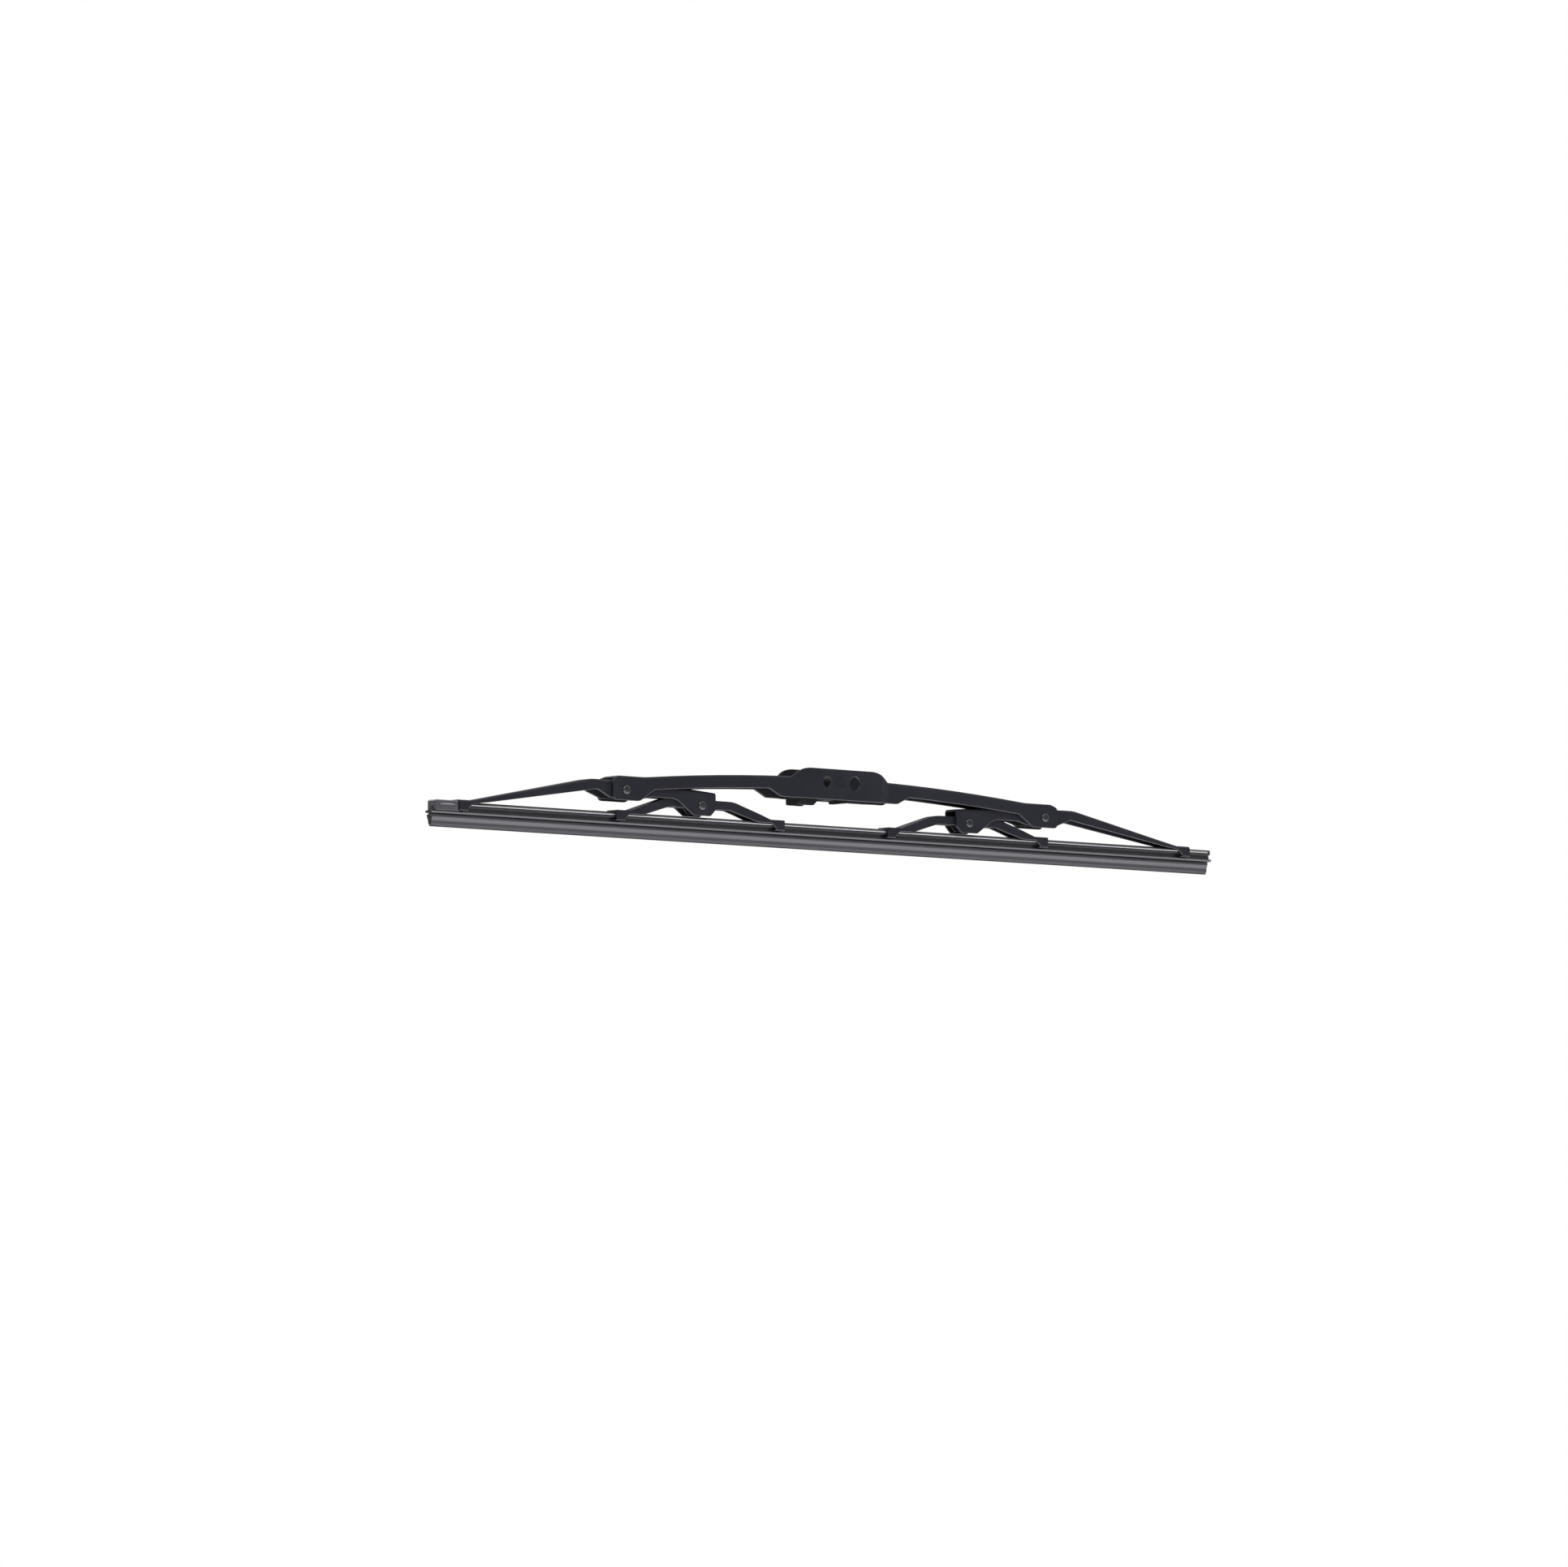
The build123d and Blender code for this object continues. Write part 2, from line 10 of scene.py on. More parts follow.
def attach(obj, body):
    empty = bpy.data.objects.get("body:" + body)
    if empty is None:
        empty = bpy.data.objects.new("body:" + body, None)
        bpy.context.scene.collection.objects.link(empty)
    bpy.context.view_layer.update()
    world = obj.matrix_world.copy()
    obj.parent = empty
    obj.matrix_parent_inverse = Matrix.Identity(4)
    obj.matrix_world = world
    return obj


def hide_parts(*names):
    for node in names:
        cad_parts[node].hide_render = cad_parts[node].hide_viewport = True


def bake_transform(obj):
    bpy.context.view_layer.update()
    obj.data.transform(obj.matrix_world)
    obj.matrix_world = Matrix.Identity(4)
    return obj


# Wiper blade, in metres: +X along the blade, +Y across it, +Z away from the glass

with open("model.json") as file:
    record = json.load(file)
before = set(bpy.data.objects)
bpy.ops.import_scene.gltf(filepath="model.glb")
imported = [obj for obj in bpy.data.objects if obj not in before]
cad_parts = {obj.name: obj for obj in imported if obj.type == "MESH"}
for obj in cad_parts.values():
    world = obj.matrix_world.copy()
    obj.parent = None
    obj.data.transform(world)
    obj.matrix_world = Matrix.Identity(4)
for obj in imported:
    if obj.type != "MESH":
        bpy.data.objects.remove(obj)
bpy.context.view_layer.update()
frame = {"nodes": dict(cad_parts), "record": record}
nodes = frame["nodes"]
print("frame loaded,", len(nodes), "nodes")


# camera: where the photograph was taken from, with places in its frame in pixels
cameraSetup = {
    "turn": 40.0,  # degrees round to the blade's left end
    "lookUp": 4.5,  # degrees
    "roll": 0.14,  # degrees, right side lower
    "distance": 4.34,
    "focalPixels": 11501.0,
    "framePixels": (1932, 1931),
    "aimPoint": (0.0, -0.0071, 0.0),  # the hook pin's near head
    "aimPixel": (1037.0, 964.7),
    "sensor": 36.0,  # millimetres
    "clip": (0.05, 60.0),
}


def placeCamera(setup):
    turn, lift, roll = (math.radians(setup[key]) for key in ("turn", "lookUp", "roll"))
    right = np.array([math.cos(turn), -math.sin(turn), 0.0])
    ahead = np.array([math.sin(turn) * math.cos(lift), math.cos(turn) * math.cos(lift), math.sin(lift)])
    up = np.cross(right, ahead)
    wide, tall = setup["framePixels"]
    across = (setup["aimPixel"][0] - wide / 2) / setup["focalPixels"]
    down = (setup["aimPixel"][1] - tall / 2) / setup["focalPixels"]
    place = np.array(setup["aimPoint"]) - setup["distance"] * (ahead + across * right - down * up)
    rolledRight = math.cos(roll) * right + math.sin(roll) * up
    rolledUp = math.cos(roll) * up - math.sin(roll) * right
    data = bpy.data.cameras.new("camera")
    data.sensor_width = setup["sensor"]
    data.lens = setup["focalPixels"] * data.sensor_width / wide
    data.clip_start, data.clip_end = setup["clip"]
    camera = bpy.data.objects.new("camera", data)
    bpy.context.scene.collection.objects.link(camera)
    pose = np.eye(4)
    pose[:3, :3] = np.stack([rolledRight, rolledUp, -ahead], axis=1)
    pose[:3, 3] = place
    camera.matrix_world = Matrix(pose.tolist())
    bpy.context.scene.camera = camera


placeCamera(cameraSetup)
bpy.context.scene.view_settings.view_transform = "Standard"
print("camera placed")


# shader groups that several finishes share

def newGroup(name, takes, gives):
    group = bpy.data.node_groups.new(name, "ShaderNodeTree")
    for label, kind, value in takes:
        socket = group.interface.new_socket(label, in_out="INPUT", socket_type=kind)
        socket.default_value = value
    for label, kind in gives:
        group.interface.new_socket(label, in_out="OUTPUT", socket_type=kind)
    start = group.nodes.new("NodeGroupInput")
    end = group.nodes.new("NodeGroupOutput")
    return group, start, end


def addNode(tree, kind, values=None, **options):
    node = tree.nodes.new(kind)
    for key, value in options.items():
        setattr(node, key, value)
    for key, value in (values or {}).items():
        node.inputs[key].default_value = value
    return node


def makeGrainGroup():  # two sizes of noise over the piece, stretched by its own amounts
    group, start, end = newGroup(
        "grain",
        [
            ("Stretch", "NodeSocketVector", (1.0, 1.0, 1.0)),
            ("Fine Scale", "NodeSocketFloat", 900.0),
            ("Broad Scale", "NodeSocketFloat", 40.0),
        ],
        [("Fine", "NodeSocketFloat"), ("Broad", "NodeSocketFloat")],
    )
    place = addNode(group, "ShaderNodeTexCoord")
    stretched = addNode(group, "ShaderNodeVectorMath", operation="MULTIPLY")
    fine = addNode(group, "ShaderNodeTexNoise", {"Detail": 3.0, "Roughness": 0.6})
    broad = addNode(group, "ShaderNodeTexNoise", {"Detail": 4.0, "Roughness": 0.55})
    link = group.links.new
    link(place.outputs["Object"], stretched.inputs[0])
    link(start.outputs["Stretch"], stretched.inputs[1])
    link(stretched.outputs[0], fine.inputs["Vector"])
    link(stretched.outputs[0], broad.inputs["Vector"])
    link(start.outputs["Fine Scale"], fine.inputs["Scale"])
    link(start.outputs["Broad Scale"], broad.inputs["Scale"])
    link(fine.outputs[0], end.inputs["Fine"])
    link(broad.outputs[0], end.inputs["Broad"])
    return group


# where the rounded normal leans away from the face's own, for edge wear, and apart from that where it also
# looks down, for a painted highlight of the light from below on the lower edges
def makeWearAndHighlightGroup():
    group, start, end = newGroup(
        "edgeWearAndPaintedHighlight",
        [("Radius", "NodeSocketFloat", 0.0004), ("Gain", "NodeSocketFloat", 3.0)],
        [("Mask", "NodeSocketFloat"), ("Lower Edge Painted Highlight", "NodeSocketFloat"), ("Normal", "NodeSocketVector")],
    )
    rounded = addNode(group, "ShaderNodeBevel", samples=8)
    own = addNode(group, "ShaderNodeNewGeometry")
    lean = addNode(group, "ShaderNodeVectorMath", operation="DOT_PRODUCT")
    turned = addNode(group, "ShaderNodeMath", {0: 1.0}, operation="SUBTRACT")
    place = addNode(group, "ShaderNodeTexCoord")
    chips = addNode(group, "ShaderNodeTexNoise", {"Scale": 350.0, "Detail": 4.0, "Roughness": 0.7})
    gained = addNode(group, "ShaderNodeMath", operation="MULTIPLY")
    broken = addNode(group, "ShaderNodeMath", operation="MULTIPLY", use_clamp=True)
    parts = addNode(group, "ShaderNodeSeparateXYZ")
    # painted highlight mask: rounded edges that look down, where light from below would catch them
    lookingDown = addNode(group, "ShaderNodeMapRange", {"From Min": -0.15, "From Max": -0.5})
    leaning = addNode(group, "ShaderNodeMapRange", {"From Min": 0.01, "From Max": 0.06})
    lower = addNode(group, "ShaderNodeMath", operation="MULTIPLY")
    link = group.links.new
    link(start.outputs["Radius"], rounded.inputs["Radius"])
    link(rounded.outputs["Normal"], lean.inputs[0])
    link(own.outputs["True Normal"], lean.inputs[1])
    link(lean.outputs["Value"], turned.inputs[1])
    link(turned.outputs[0], gained.inputs[0])
    link(start.outputs["Gain"], gained.inputs[1])
    link(place.outputs["Object"], chips.inputs["Vector"])
    link(gained.outputs[0], broken.inputs[0])
    link(chips.outputs[0], broken.inputs[1])
    link(broken.outputs[0], end.inputs["Mask"])
    link(rounded.outputs["Normal"], parts.inputs[0])
    link(parts.outputs["Z"], lookingDown.inputs["Value"])
    link(turned.outputs[0], leaning.inputs["Value"])
    link(lookingDown.outputs[0], lower.inputs[0])
    link(leaning.outputs[0], lower.inputs[1])
    link(lower.outputs[0], end.inputs["Lower Edge Painted Highlight"])
    link(rounded.outputs["Normal"], end.inputs["Normal"])
    return group


def makeDustGroup():  # pale settling on faces that look up, in soft patches
    group, start, end = newGroup(
        "dust",
        [("Patch Scale", "NodeSocketFloat", 60.0), ("Amount", "NodeSocketFloat", 0.2)],
        [("Mask", "NodeSocketFloat")],
    )
    place = addNode(group, "ShaderNodeTexCoord")
    patches = addNode(group, "ShaderNodeTexNoise", {"Detail": 5.0, "Roughness": 0.65})
    own = addNode(group, "ShaderNodeNewGeometry")
    parts = addNode(group, "ShaderNodeSeparateXYZ")
    facing = addNode(
        group, "ShaderNodeMapRange", {"From Min": -0.4, "From Max": 1.0, "To Min": 0.15, "To Max": 1.0}
    )
    spread = addNode(group, "ShaderNodeMapRange", {"From Min": 0.42, "From Max": 0.72})
    both = addNode(group, "ShaderNodeMath", operation="MULTIPLY")
    most = addNode(group, "ShaderNodeMath", operation="MULTIPLY", use_clamp=True)
    link = group.links.new
    link(place.outputs["Object"], patches.inputs["Vector"])
    link(start.outputs["Patch Scale"], patches.inputs["Scale"])
    link(own.outputs["Normal"], parts.inputs[0])
    link(parts.outputs["Z"], facing.inputs["Value"])
    link(patches.outputs[0], spread.inputs["Value"])
    link(facing.outputs[0], both.inputs[0])
    link(spread.outputs[0], both.inputs[1])
    link(both.outputs[0], most.inputs[0])
    link(start.outputs["Amount"], most.inputs[1])
    link(most.outputs[0], end.inputs["Mask"])
    return group


grainGroup = makeGrainGroup()
wearAndHighlightGroup = makeWearAndHighlightGroup()
dustGroup = makeDustGroup()


def useGroup(tree, group, values):
    return addNode(tree, "ShaderNodeGroup", values, node_tree=group)


mixSockets = {"first": 6, "second": 7, "result": 2}  # where a Mix node keeps its colours


def mixColours(tree, factor, first, second):  # first and second are colours or sockets
    mix = addNode(tree, "ShaderNodeMix", data_type="RGBA")
    tree.links.new(factor, mix.inputs["Factor"])
    for place, value in (("first", first), ("second", second)):
        socket = mix.inputs[mixSockets[place]]
        if isinstance(value, tuple):
            socket.default_value = (*value, 1.0)
        else:
            tree.links.new(value, socket)
    return mix.outputs[mixSockets["result"]]


noiseSpan = (0.3, 0.7)  # where nearly all of a noise lies


def remapNoise(tree, value, low, high):
    spans = {"From Min": noiseSpan[0], "From Max": noiseSpan[1], "To Min": low, "To Max": high}
    node = addNode(tree, "ShaderNodeMapRange", spans)
    tree.links.new(value, node.inputs["Value"])
    return node.outputs[0]


def makeFinish(name, look):
    finish = bpy.data.materials.new(name)
    finish.use_nodes = True
    tree = finish.node_tree
    shader = tree.nodes["Principled BSDF"]
    for label, value in look["fixed"].items():  # the same all over, so set on the shader itself
        shader.inputs[label].default_value = value
    grain = useGroup(tree, grainGroup, look["grain"])
    wear = useGroup(tree, wearAndHighlightGroup, look["wear"])
    dust = useGroup(tree, dustGroup, look["dust"])
    colour = mixColours(tree, remapNoise(tree, grain.outputs["Broad"], 0.0, 1.0), *look["colours"])
    colour = mixColours(tree, wear.outputs["Mask"], colour, look["edgeColour"])
    if "paintedLowerHighlight" in look:  # cut edges underneath painted pale, a painted highlight of the light from below
        colour = mixColours(tree, wear.outputs["Lower Edge Painted Highlight"], colour, look["paintedLowerHighlight"])
    colour = mixColours(tree, dust.outputs["Mask"], colour, look["dustColour"])
    tree.links.new(colour, shader.inputs["Base Color"])
    roughness = remapNoise(tree, grain.outputs["Fine"], *look["roughness"])
    tree.links.new(roughness, shader.inputs["Roughness"])
    strength, distance = look["bump"]
    bump = addNode(tree, "ShaderNodeBump", {"Strength": strength, "Distance": distance})
    tree.links.new(grain.outputs["Fine"], bump.inputs["Height"])
    tree.links.new(wear.outputs["Normal"], bump.inputs["Normal"])
    tree.links.new(bump.outputs[0], shader.inputs["Normal"])
    return finish


satinPaint = {  # blue-black stove paint with a slight orange peel
    "colours": ((0.0078, 0.0082, 0.0134), (0.0114, 0.0119, 0.0178)),
    "edgeColour": (0.035, 0.036, 0.041),
    # painted highlight: pale grey on rounded edges that look down, standing in for the light from below
    "paintedLowerHighlight": (0.200, 0.200, 0.212),
    "dustColour": (0.045, 0.046, 0.053),
    "roughness": (0.46, 0.58),
    "bump": (0.25, 0.00006),
    "fixed": {"Specular IOR Level": 0.19},
    "grain": {"Fine Scale": 1500.0, "Broad Scale": 55.0},
    "wear": {"Radius": 0.00045, "Gain": 1.2},
    "dust": {"Patch Scale": 70.0, "Amount": 0.20},
}
mouldedPlastic = {  # black acetal with fine spark texture
    "colours": ((0.0066, 0.0067, 0.0090), (0.0102, 0.0103, 0.0132)),
    "edgeColour": (0.026, 0.026, 0.030),
    "dustColour": (0.035, 0.035, 0.039),
    "roughness": (0.50, 0.64),
    "bump": (0.35, 0.00008),
    "fixed": {"Specular IOR Level": 0.20},
    "grain": {"Fine Scale": 2600.0, "Broad Scale": 90.0},
    "wear": {"Radius": 0.0002, "Gain": 0.8},
    "dust": {"Patch Scale": 90.0, "Amount": 0.15},
}
wiperRubber = {  # extruded rubber, drawn lines along its length and a grey bloom
    "colours": ((0.013, 0.0125, 0.0150), (0.020, 0.0195, 0.0230)),
    "edgeColour": (0.065, 0.063, 0.071),
    "dustColour": (0.120, 0.118, 0.128),
    "roughness": (0.20, 0.30),
    "bump": (0.30, 0.00005),
    "fixed": {"Specular IOR Level": 0.80, "Specular Tint": (0.91, 0.92, 1.0, 1.0)},
    "grain": {"Stretch": (0.02, 1.0, 1.0), "Fine Scale": 2600.0, "Broad Scale": 420.0},
    "wear": {"Radius": 0.0001, "Gain": 0.6},
    "dust": {"Patch Scale": 130.0, "Amount": 0.14},
}
springSteel = {  # rolled strip, drawn along its length
    "colours": ((0.33, 0.325, 0.345), (0.43, 0.425, 0.445)),
    "edgeColour": (0.52, 0.515, 0.53),
    "dustColour": (0.36, 0.355, 0.345),
    "roughness": (0.24, 0.40),
    "bump": (0.20, 0.00003),
    "fixed": {"Metallic": 1.0},
    "grain": {"Stretch": (0.015, 1.0, 1.0), "Fine Scale": 5200.0, "Broad Scale": 700.0},
    "wear": {"Radius": 0.00008, "Gain": 0.8},
    "dust": {"Patch Scale": 160.0, "Amount": 0.18},
}
clipSteel = {  # darkened sheet steel
    "colours": ((0.165, 0.163, 0.180), (0.225, 0.222, 0.244)),
    "edgeColour": (0.300, 0.297, 0.315),
    "dustColour": (0.170, 0.169, 0.180),
    "roughness": (0.28, 0.40),
    "bump": (0.25, 0.00004),
    "fixed": {"Metallic": 1.0},
    "grain": {"Stretch": (0.2, 1.0, 1.0), "Fine Scale": 2400.0, "Broad Scale": 260.0},
    "wear": {"Radius": 0.00018, "Gain": 1.6},
    "dust": {"Patch Scale": 150.0, "Amount": 0.20},
}
blackenedSteel = {  # rivet heads, formed after the paint and burnished by the tool
    "colours": ((0.075, 0.075, 0.082), (0.110, 0.110, 0.118)),
    "edgeColour": (0.150, 0.150, 0.158),
    "dustColour": (0.070, 0.071, 0.078),
    "roughness": (0.24, 0.36),
    "bump": (0.20, 0.00003),
    "fixed": {"Metallic": 1.0},
    "grain": {"Fine Scale": 2200.0, "Broad Scale": 420.0},
    "wear": {"Radius": 0.0001, "Gain": 0.6},
    "dust": {"Patch Scale": 150.0, "Amount": 0.20},
}
glossPaint = {  # the hook pin's head, painted with the lever but smoother
    **satinPaint,
    "edgeColour": (0.010, 0.0105, 0.015),
    "roughness": (0.28, 0.36),
    "bump": (0.15, 0.00003),
    "fixed": {"Specular IOR Level": 0.24},
    "wear": {"Radius": 0.0001, "Gain": 0.2},
}
del glossPaint["paintedLowerHighlight"]
finishes = {
    "painted_steel": makeFinish("satinPaint", satinPaint),
    "black_plastic": makeFinish("mouldedPlastic", mouldedPlastic),
    "rubber": makeFinish("wiperRubber", wiperRubber),
    "spring_steel": makeFinish("springSteel", springSteel),
    "clip_steel": makeFinish("clipSteel", clipSteel),
}
rivetFinish = makeFinish("blackenedSteel", blackenedSteel)
pinFinish = makeFinish("glossPaint", glossPaint)
for part in frame["record"]["subparts"]:
    slots = nodes[part["node"]].data.materials
    slots.clear()
    slots.append(finishes[part["material_slot"]])
print("finishes made")


# new pieces
mergeDistance = 1e-7  # closes poles and seams
perMetre = 1000.0  # millimetres


def meshPiece(name, points, faces, slot, sharpAngle=40.0, finish=None):
    mesh = bpy.data.meshes.new(name)
    mesh.from_pydata(points.tolist(), [], faces)
    tidy = bmesh.new()
    tidy.from_mesh(mesh)
    bmesh.ops.remove_doubles(tidy, verts=tidy.verts, dist=mergeDistance)
    bmesh.ops.recalc_face_normals(tidy, faces=tidy.faces)
    tidy.to_mesh(mesh)
    tidy.free()
    mesh.shade_smooth()
    mesh.set_sharp_from_angle(angle=math.radians(sharpAngle))
    mesh.materials.append(finish or finishes[slot])
    piece = bpy.data.objects.new(name, mesh)
    bpy.context.scene.collection.objects.link(piece)
    return piece


def gridFaces(rows, columns, wrap):  # quads between each row of points and the next
    last = columns if wrap else columns - 1
    row, column = np.meshgrid(np.arange(rows - 1), np.arange(last), indexing="ij")
    after = (column + 1) % columns
    here, beyond = row * columns, (row + 1) * columns
    corners = [here + column, here + after, beyond + after, beyond + column]
    return np.stack(corners, axis=-1).reshape(-1, 4).tolist()


def endCaps(rows, columns):  # the first and the last row, each as one face
    return [list(range(columns)), list(range((rows - 1) * columns, rows * columns))]


# each corner, given as a place and a rounding, becomes an arc: it starts and ends where the rounding meets
# the two sides, and its points lean from one to the other through the corner (a quadratic curve)
def roundedSection(corners, steps=4):
    points, cut = corners[:, :2], corners[:, 2:]
    before = np.roll(points, 1, axis=0) - points
    after = np.roll(points, -1, axis=0) - points
    first = points + cut * before / np.linalg.norm(before, axis=1, keepdims=True)
    last = points + cut * after / np.linalg.norm(after, axis=1, keepdims=True)
    t = np.linspace(0.0, 1.0, steps)[None, :, None]
    arcs = (1 - t) ** 2 * first[:, None] + 2 * t * (1 - t) * points[:, None] + t ** 2 * last[:, None]
    return arcs.reshape(-1, 2)


# sections in Y and Z carried along X: point (i, j) is point j of section i, at station i of X times the
# point's own reach, so that the end need not be square; each section is shrunk towards the middle of them
# all by its share
def sweepAlongX(name, sections, stations, shares, reach, slot):
    middle = (sections.max(axis=(0, 1)) + sections.min(axis=(0, 1))) / 2
    grid = np.empty((*sections.shape[:2], 3))
    grid[:, :, 0] = stations[:, None] * reach[None]
    grid[:, :, 1:] = middle + shares[:, None, None] * (sections - middle)
    rows, columns = sections.shape[:2]
    faces = gridFaces(rows, columns, wrap=True) + endCaps(rows, columns)
    return meshPiece(name, grid.reshape(-1, 3), faces, slot)


# rubber, one half each side of the blade's middle
rubberSetup = {
    "halfLength": 0.2375,
    "stations": 120,
    "endStations": 14,  # from the plug to the right end
    "seam": 1e-6,  # keeps stations apart that would fall together
    "tongue": 0.0012,  # the left half reaches this far inside the right one
    "tongueShare": 0.97,
    "yokeEnd": 0.129,  # the yoke's outer claw
    "leverEnd": 0.220,  # the lever's claw
    "top": -0.0198,
    "ends": {  # millimetres down from the top, and how far out the rubber reaches there
        "left": [(0.0, 235.1), (4.05, 235.1), (4.45, 237.3), (5.55, 237.3), (6.2, 236.8), (11.7, 236.6)],
        "right": [
            (0.0, 237.3), (2.50, 237.3), (2.55, 237.1), (4.2, 237.1), (4.45, 237.5), (5.55, 237.5),
            (6.1, 236.5), (6.3, 235.3), (11.7, 235.7),
        ],
    },
    "plug": 0.2352,  # from here to the right end the head's slots are closed
    "plugStep": 2e-5,  # they close over this length
    "plugRoom": 1e-4,  # and no even station is nearer than this
    "headDepth": 0.0025,
    "headWide": 0.0024,  # half
    "slot": (0.00057, 0.00173),  # lies between these depths below the top
    "headRound": 0.0009,
    # half section from the head's top down to the lip, in millimetres: out, down from the top, rounding
    "section": [
        (1.90, 0.00, 0.30), (2.40, 0.40, 0.20), (2.40, 0.65, 0.06), (0.90, 0.65, 0.10),  # head and slot
        (0.90, 1.65, 0.10), (2.40, 1.65, 0.06), (2.40, 2.50, 0.08), (0.80, 2.50, 0.06),
        (1.00, 4.50, 0.20), (2.50, 4.50, 0.10), (2.50, 4.80, 0.12), (2.12, 5.65, 0.12),  # flange
        (0.45, 5.65, 0.15), (0.45, 6.25, 0.15), (2.16, 6.25, 0.15), (2.04, 7.40, 0.50),  # hinge
        (1.35, 8.80, 0.60), (1.10, 10.60, 0.20), (0.40, 11.10, 0.20), (0.40, 11.70, 0.06),  # lip
    ],
}


def rubberSection(setup):  # the half section down the near side, and up the far side mirrored
    out, down, cut = np.array(setup["section"]).T / perMetre
    half = np.stack([-out, setup["top"] - down, cut], axis=1)
    return roundedSection(np.concatenate([half, half[::-1] * (-1.0, 1.0, 1.0)]))


# the slots close past the plug, and the head's end is a quarter round: with u the share of the rounding
# already passed, the head draws in by round * (1 - sqrt(1 - u * u)) on every side
def rubberSections(setup, stations):
    slotted = rubberSection(setup)
    down = setup["top"] - slotted[:, 1]
    closed = slotted.copy()
    inSlot = (down > setup["slot"][0]) & (down < setup["slot"][1])
    closed[inSlot, 0] = np.sign(closed[inSlot, 0]) * setup["headWide"]
    past = stations > setup["plug"]
    sections = np.where(past[:, None, None], closed[None], slotted[None])
    u = np.clip((stations - stations.max()) / setup["headRound"] + 1, 0.0, 1.0) * past
    inset = setup["headRound"] * (1 - np.sqrt(1 - u * u))
    head = down <= setup["headDepth"] + setup["seam"]
    middle = np.array([0.0, setup["top"] - setup["headDepth"] / 2])
    half = np.array([setup["headWide"], setup["headDepth"] / 2])
    drawn = middle + (sections - middle) * (1 - inset[:, None, None] / half)
    return np.where(head[None, :, None], drawn, sections)


# each point's reach as a share of the half length, read from the end's outline at the point's depth
def endReach(setup, hand):
    depths, ends = np.array(setup["ends"][hand]).T
    down = (setup["top"] - rubberSection(setup)[:, 1]) * perMetre
    return np.interp(down, depths, ends) / (setup["halfLength"] * perMetre)


# even steps of X from the middle to the end, and the share of its full size that each section has
def halfStations(setup, side):
    plug, seam = setup["plug"], setup["seam"]
    stations = np.linspace(0.0, side * setup["halfLength"], setup["stations"])
    if side > 0:  # closer together where the end is rounded
        before = stations[stations < plug - setup["plugRoom"]]
        steps = np.linspace(plug, setup["halfLength"], setup["endStations"])
        stations = np.concatenate([before, [plug - setup["plugStep"]], steps + seam])
    shares = np.ones_like(stations)
    if side < 0:  # the left half carries the tongue, hidden in the right half
        stations = np.concatenate([[setup["tongue"], seam], stations])
        shares = np.concatenate([[setup["tongueShare"], setup["tongueShare"]], shares])
    return stations, shares


def followLevers(piece):
    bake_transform(piece)


for hand, side in (("left", -1), ("right", 1)):
    stations, shares = halfStations(rubberSetup, side)
    sections = rubberSections(rubberSetup, stations)
    half = sweepAlongX(f"{hand}_rubber", sections, stations, shares, endReach(rubberSetup, hand), "rubber")
    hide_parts("squeegee")
    followLevers(half)
print("rubber made")


# spring strips in the rubber's side slots, in halves like the rubber
stripSetup = {
    **rubberSetup,
    "halfLength": 0.235,
    "plug": 0.234,
    "outer": 0.0027,  # half the span over both strips
    "width": 0.00175,
    "thickness": 0.0009,
    "drop": 0.00070,  # below the rubber's top
    "rounding": 0.00040,
}


def stripSection(setup, side):  # a rounded rectangle, from the inner edge to the outer one
    near, far = side * (setup["outer"] - setup["width"]), side * setup["outer"]
    high = setup["top"] - setup["drop"]
    low = high - setup["thickness"]
    cut = setup["rounding"]
    return roundedSection(
        np.array([(near, high, cut), (far, high, cut), (far, low, cut), (near, low, cut)])
    )


for hand, side in (("left", -1), ("right", 1)):
    for face, across in (("front", -1), ("rear", 1)):
        stations, shares = halfStations(stripSetup, side)
        section = stripSection(stripSetup, across)
        sections = np.repeat(section[None], len(stations), axis=0)
        reach = np.ones(len(section))
        strip = sweepAlongX(f"{hand}_{face}_strip", sections, stations, shares, reach, "spring_steel")
        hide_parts(f"{face}_flexor")
        followLevers(strip)
print("spring strips made")


# clip on the left end: a thin sheet pressed to a lid over the head, with a tab down its end
clipSetup = {
    "left": -0.2356,
    "right": -0.22265,
    "halfWidth": 0.00315,
    "top": -0.01935,
    "wallLow": -0.02410,
    "tabLow": -0.02385,
    "sheet": 0.00028,
    "corner": 0.0004,
    "brow": 0.0006,  # rounding from the top into the walls
    "steps": {"wall": 60, "corner": 6, "tab": 16, "lid": 5, "brow": 7, "drop": 30},
    "groove": {
        "x": -0.2288,
        "z": -0.0214,
        "halfLong": 0.0048,
        "halfTall": 0.0005,
        "deep": 0.00016,
        "thinnest": 1e-3,  # share of the half height that is left at the ends
        "wallShare": 0.85,  # only what is further out than this is pressed
    },
}


# the lid's outline in plan: along the far wall from its open end, round a quarter turn, across the tab,
# and back along the near wall
def clipPath(setup):
    wide, left, cut, steps = (setup[key] for key in ("halfWidth", "left", "corner", "steps"))
    along = np.linspace(setup["right"], left + cut, steps["wall"])
    quarter = np.linspace(0.0, math.pi / 2, steps["corner"])[1:-1]
    across = np.linspace(wide - cut, cut - wide, steps["tab"])
    wall = np.stack([along, np.full_like(along, wide)], axis=1)
    bend = np.stack([left + cut - cut * np.sin(quarter), wide - cut + cut * np.cos(quarter)], axis=1)
    tab = np.stack([np.full_like(across, left), across], axis=1)
    flip = np.array([1.0, -1.0])
    return np.concatenate([wall, bend, tab, (bend * flip)[::-1], (wall * flip)[::-1]])


